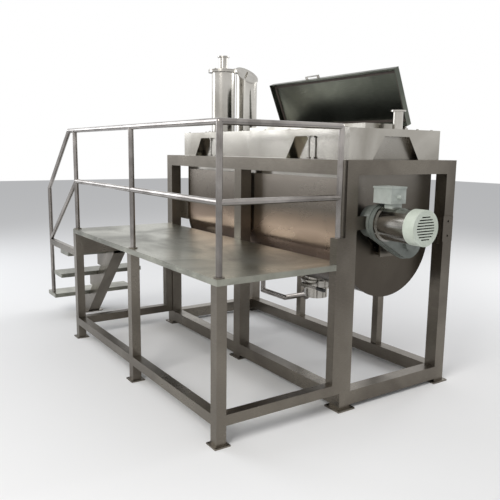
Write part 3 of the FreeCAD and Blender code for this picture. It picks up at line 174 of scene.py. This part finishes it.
def coated(name, dark, light, rough=0.45, patches=0.4, patchSize=9.0, grain=0.2, coat=0.0, bump=0.1):
    # paint, rubber and moulded plastic with a slightly uneven skin
    material = steel(name, dark, light, (rough - 0.08, rough + 0.1), (9, 9, 9), grain, patches,
                     patchSize, 0.1, bump, 0.0)
    material.node_tree.nodes["Principled BSDF"].inputs["Coat Weight"].default_value = coat
    return material


# finishes, one for each of the machine's surfaces
finishes = {
    "frameTube": steel("frameTube", "#57514a", "#8b857b", stretch=(5, 5, 40), patchSize=1.3),
    "polishedTrough": steel("polishedTrough", "#8d8981", "#cfccc6", (0.10, 0.22), (50, 5, 5), 0.3,
                            0.6, 1.4, 0.15, 0.05),
    # heating jacket: painted shade on the lower part, a painted reflection band across the middle and a
    # lighter painted top
    "jacketSheet": steel("jacketSheet", "#5b4f45", "#b7a593", (0.18, 0.34), (3, 40, 40), 0.35, 0.6,
                         1.6, 0.3, 0.08, paintedLightBands=("Z", 0.73, 1.6, [
                             (0.0, "#4b4540"), (0.22, "#4c4039"), (0.36, "#6e5c50"), (0.52, "#b29c8a"),
                             (0.62, "#8f7f70"), (0.72, "#6d675f"), (1.0, "#9a948c")])),
    # end plates: painted shade low down, lightening to painted light towards the top
    "endPlate": steel("endPlate", "#565049", "#7d776d", (0.22, 0.4), (6, 6, 6), 0.3, 0.8, 1.8, 0.3,
                      0.1, paintedLightBands=("Z", 0.73, 1.94, [
                          (0.0, "#4d4740"), (0.35, "#5a544b"), (0.6, "#6b665f"), (0.8, "#8a867f"),
                          (1.0, "#a5a29c")])),
    "casingSheet": steel("casingSheet", "#7c776e", "#b9b6af", (0.12, 0.28), (6, 6, 50), 0.3, 0.7,
                         1.6, 0.2, 0.06),
    "brightSteel": steel("brightSteel", "#77736c", "#c6c3bd", (0.15, 0.3), (40, 40, 8), 0.4, 0.4,
                         5.0, 0.2, 0.08),
    "lidSheet": steel("lidSheet", "#4c5049", "#7a7d74", (0.25, 0.42), (3, 40, 40), 0.4, 0.6, 1.8,
                      0.3, 0.1),
    "rubber": coated("rubber", "#3c3531", "#5b504a", 0.6),
    "packingCord": coated("packingCord", "#b9b6ae", "#dedbd4", 0.75),
    "bearingIron": coated("bearingIron", "#3d423f", "#565c58", 0.45, coat=0.1),
    "gearPaint": coated("gearPaint", "#4f544f", "#7b807a", 0.38, coat=0.15),
    "motorSkin": steel("motorSkin", "#6b6862", "#c2c0ba", (0.12, 0.24), (60, 4, 4), 0.35, 0.5, 2.5,
                       0.1, 0.05),
    "cowlPaint": coated("cowlPaint", "#b3bcae", "#d4dbd0", 0.42, coat=0.1),
    "fanPlastic": coated("fanPlastic", "#151515", "#262626", 0.5),
    "boxPaint": coated("boxPaint", "#8a918b", "#c2c8c2", 0.4, coat=0.1),
    "gripPlastic": coated("gripPlastic", "#101010", "#222222", 0.3, coat=0.2),
    "railPipe": steel("railPipe", "#5f5a56", "#b5b0ac", (0.14, 0.28), (30, 30, 4), 0.4, 0.5, 3.0,
                      0.2, 0.05),
    "deckSheet": steel("deckSheet", "#71716a", "#a9a99d", (0.26, 0.44), (2, 2, 2), 0.2, 0.7, 2.2,
                       0.9, 0.12),
}

slotFinish = {
    "frame_steel": "frameTube", "polished_steel": "polishedTrough", "casing_steel": "casingSheet",
    "bright_steel": "brightSteel", "lid_steel": "lidSheet", "seal_rubber": "rubber",
    "packing": "packingCord", "bearing_iron": "bearingIron", "gearbox_paint": "gearPaint",
    "motor_metal": "motorSkin", "cowl_paint": "cowlPaint", "fan_plastic": "fanPlastic",
    "box_plastic": "boxPaint", "grip_plastic": "gripPlastic", "pipe_steel": "railPipe",
    "deck_steel": "deckSheet",
}
nodeFinish = {"heating_jacket": "jacketSheet", "trough_end_plates": "endPlate"}


def dressNodes():
    for part in frame["record"]["subparts"]:
        name = part["node"]
        finish = finishes[nodeFinish.get(name) or slotFinish[part["material_slot"]]]
        thing = nodes[name]
        if not thing.material_slots:
            thing.data.materials.append(None)
        for slot in thing.material_slots:
            slot.material = finish


dressNodes()


# studio

floorPlan = {"reach": 30, "colour": (0.86, 0.86, 0.86, 1), "rough": 0.9, "gritScale": 40.0,
             "gritDetail": 3.0, "bump": 0.04, "bumpDepth": 0.01}


def makeStage():
    bm = bmesh.new()
    reach = floorPlan["reach"]
    corners = ((-reach, -reach), (reach, -reach), (reach, reach), (-reach, reach))
    bm.faces.new([bm.verts.new((x, y, 0)) for x, y in corners])
    mesh = bpy.data.meshes.new("studioFloor")
    bm.to_mesh(mesh)
    bm.free()
    floor = bpy.data.objects.new("studioFloor", mesh)
    bpy.context.collection.objects.link(floor)
    material = bpy.data.materials.new("paleFloor")
    material.use_nodes = True
    tree = material.node_tree
    tree.nodes.clear()
    out = addNode(tree, "ShaderNodeOutputMaterial")
    shader = addNode(tree, "ShaderNodeBsdfPrincipled", values={
        "Base Color": floorPlan["colour"], "Roughness": floorPlan["rough"]})
    shader.inputs["Specular IOR Level"].default_value = 0.0
    grit = addNode(tree, "ShaderNodeTexNoise", values={
        "Scale": floorPlan["gritScale"], "Detail": floorPlan["gritDetail"]})
    bump = addNode(tree, "ShaderNodeBump", values={
        "Strength": floorPlan["bump"], "Distance": floorPlan["bumpDepth"]})
    tree.links.new(grit.outputs["Fac"], bump.inputs["Height"])
    tree.links.new(bump.outputs["Normal"], shader.inputs["Normal"])
    tree.links.new(shader.outputs["BSDF"], out.inputs["Surface"])
    mesh.materials.append(material)


worldPlan = {"lightColour": (0.97, 0.98, 1, 1), "lightStrength": 0.55, "seenColour": (1, 1, 1, 1),
             "seenStrength": 1.0}


def makeWorld():
    # a soft light, seen as plain white
    world = bpy.data.worlds.new("studio")
    bpy.context.scene.world = world
    world.use_nodes = True
    tree = world.node_tree
    tree.nodes.clear()
    out = addNode(tree, "ShaderNodeOutputWorld")
    light = addNode(tree, "ShaderNodeBackground", values={
        "Color": worldPlan["lightColour"], "Strength": worldPlan["lightStrength"]})
    seen = addNode(tree, "ShaderNodeBackground", values={
        "Color": worldPlan["seenColour"], "Strength": worldPlan["seenStrength"]})
    path = addNode(tree, "ShaderNodeLightPath")
    first = mathNode(tree, "MAXIMUM", path.outputs["Is Camera Ray"], path.outputs["Is Glossy Ray"])
    both = mathNode(tree, "MAXIMUM", first, path.outputs["Is Transmission Ray"])
    mix = addNode(tree, "ShaderNodeMixShader")
    tree.links.new(both, mix.inputs[0])
    tree.links.new(light.outputs[0], mix.inputs[1])
    tree.links.new(seen.outputs[0], mix.inputs[2])
    tree.links.new(mix.outputs[0], out.inputs["Surface"])


lampAim = (0, 0, 1.1)
lampPlan = {
    "keyLamp": {"place": (3.5, -6.0, 5.5), "power": 330, "size": 3.5, "colour": (1, 0.98, 0.95)},
    "fillLamp": {"place": (-6.0, -4.0, 4.0), "power": 160, "size": 4.0, "colour": (0.93, 0.96, 1)},
    "rearLamp": {"place": (1.0, 6.5, 5.0), "power": 200, "size": 4.0, "colour": (1, 1, 1)},
}


def makeLamps():
    middle = Vector(lampAim)
    for name, plan in lampPlan.items():
        data = bpy.data.lights.new(name, "AREA")
        data.energy = plan["power"]
        data.size = plan["size"]
        data.color = plan["colour"]
        lamp = bpy.data.objects.new(name, data)
        bpy.context.collection.objects.link(lamp)
        lamp.location = plan["place"]
        lamp.rotation_euler = (middle - Vector(plan["place"])).to_track_quat("-Z", "Y").to_euler()


viewPlan = {"place": (4.5144, -2.7757, 1.7826), "look": (-0.81873, 0.55048, -0.16327),
            "roll": -0.705, "lens": 43.22, "sensor": 36.0, "clip": 200}


def makeCamera():
    data = bpy.data.cameras.new("camera")
    data.lens = viewPlan["lens"]
    data.sensor_width = viewPlan["sensor"]
    data.clip_end = viewPlan["clip"]
    camera = bpy.data.objects.new("camera", data)
    bpy.context.collection.objects.link(camera)
    turn = Vector(viewPlan["look"]).to_track_quat("-Z", "Y").to_matrix().to_4x4()
    roll = Matrix.Rotation(math.radians(-viewPlan["roll"]), 4, "Z")
    camera.matrix_world = Matrix.Translation(viewPlan["place"]) @ turn @ roll
    bpy.context.scene.camera = camera


makeStage()
makeWorld()
makeLamps()
makeCamera()
bpy.context.scene.view_settings.view_transform = "Standard"
print("studio ready")
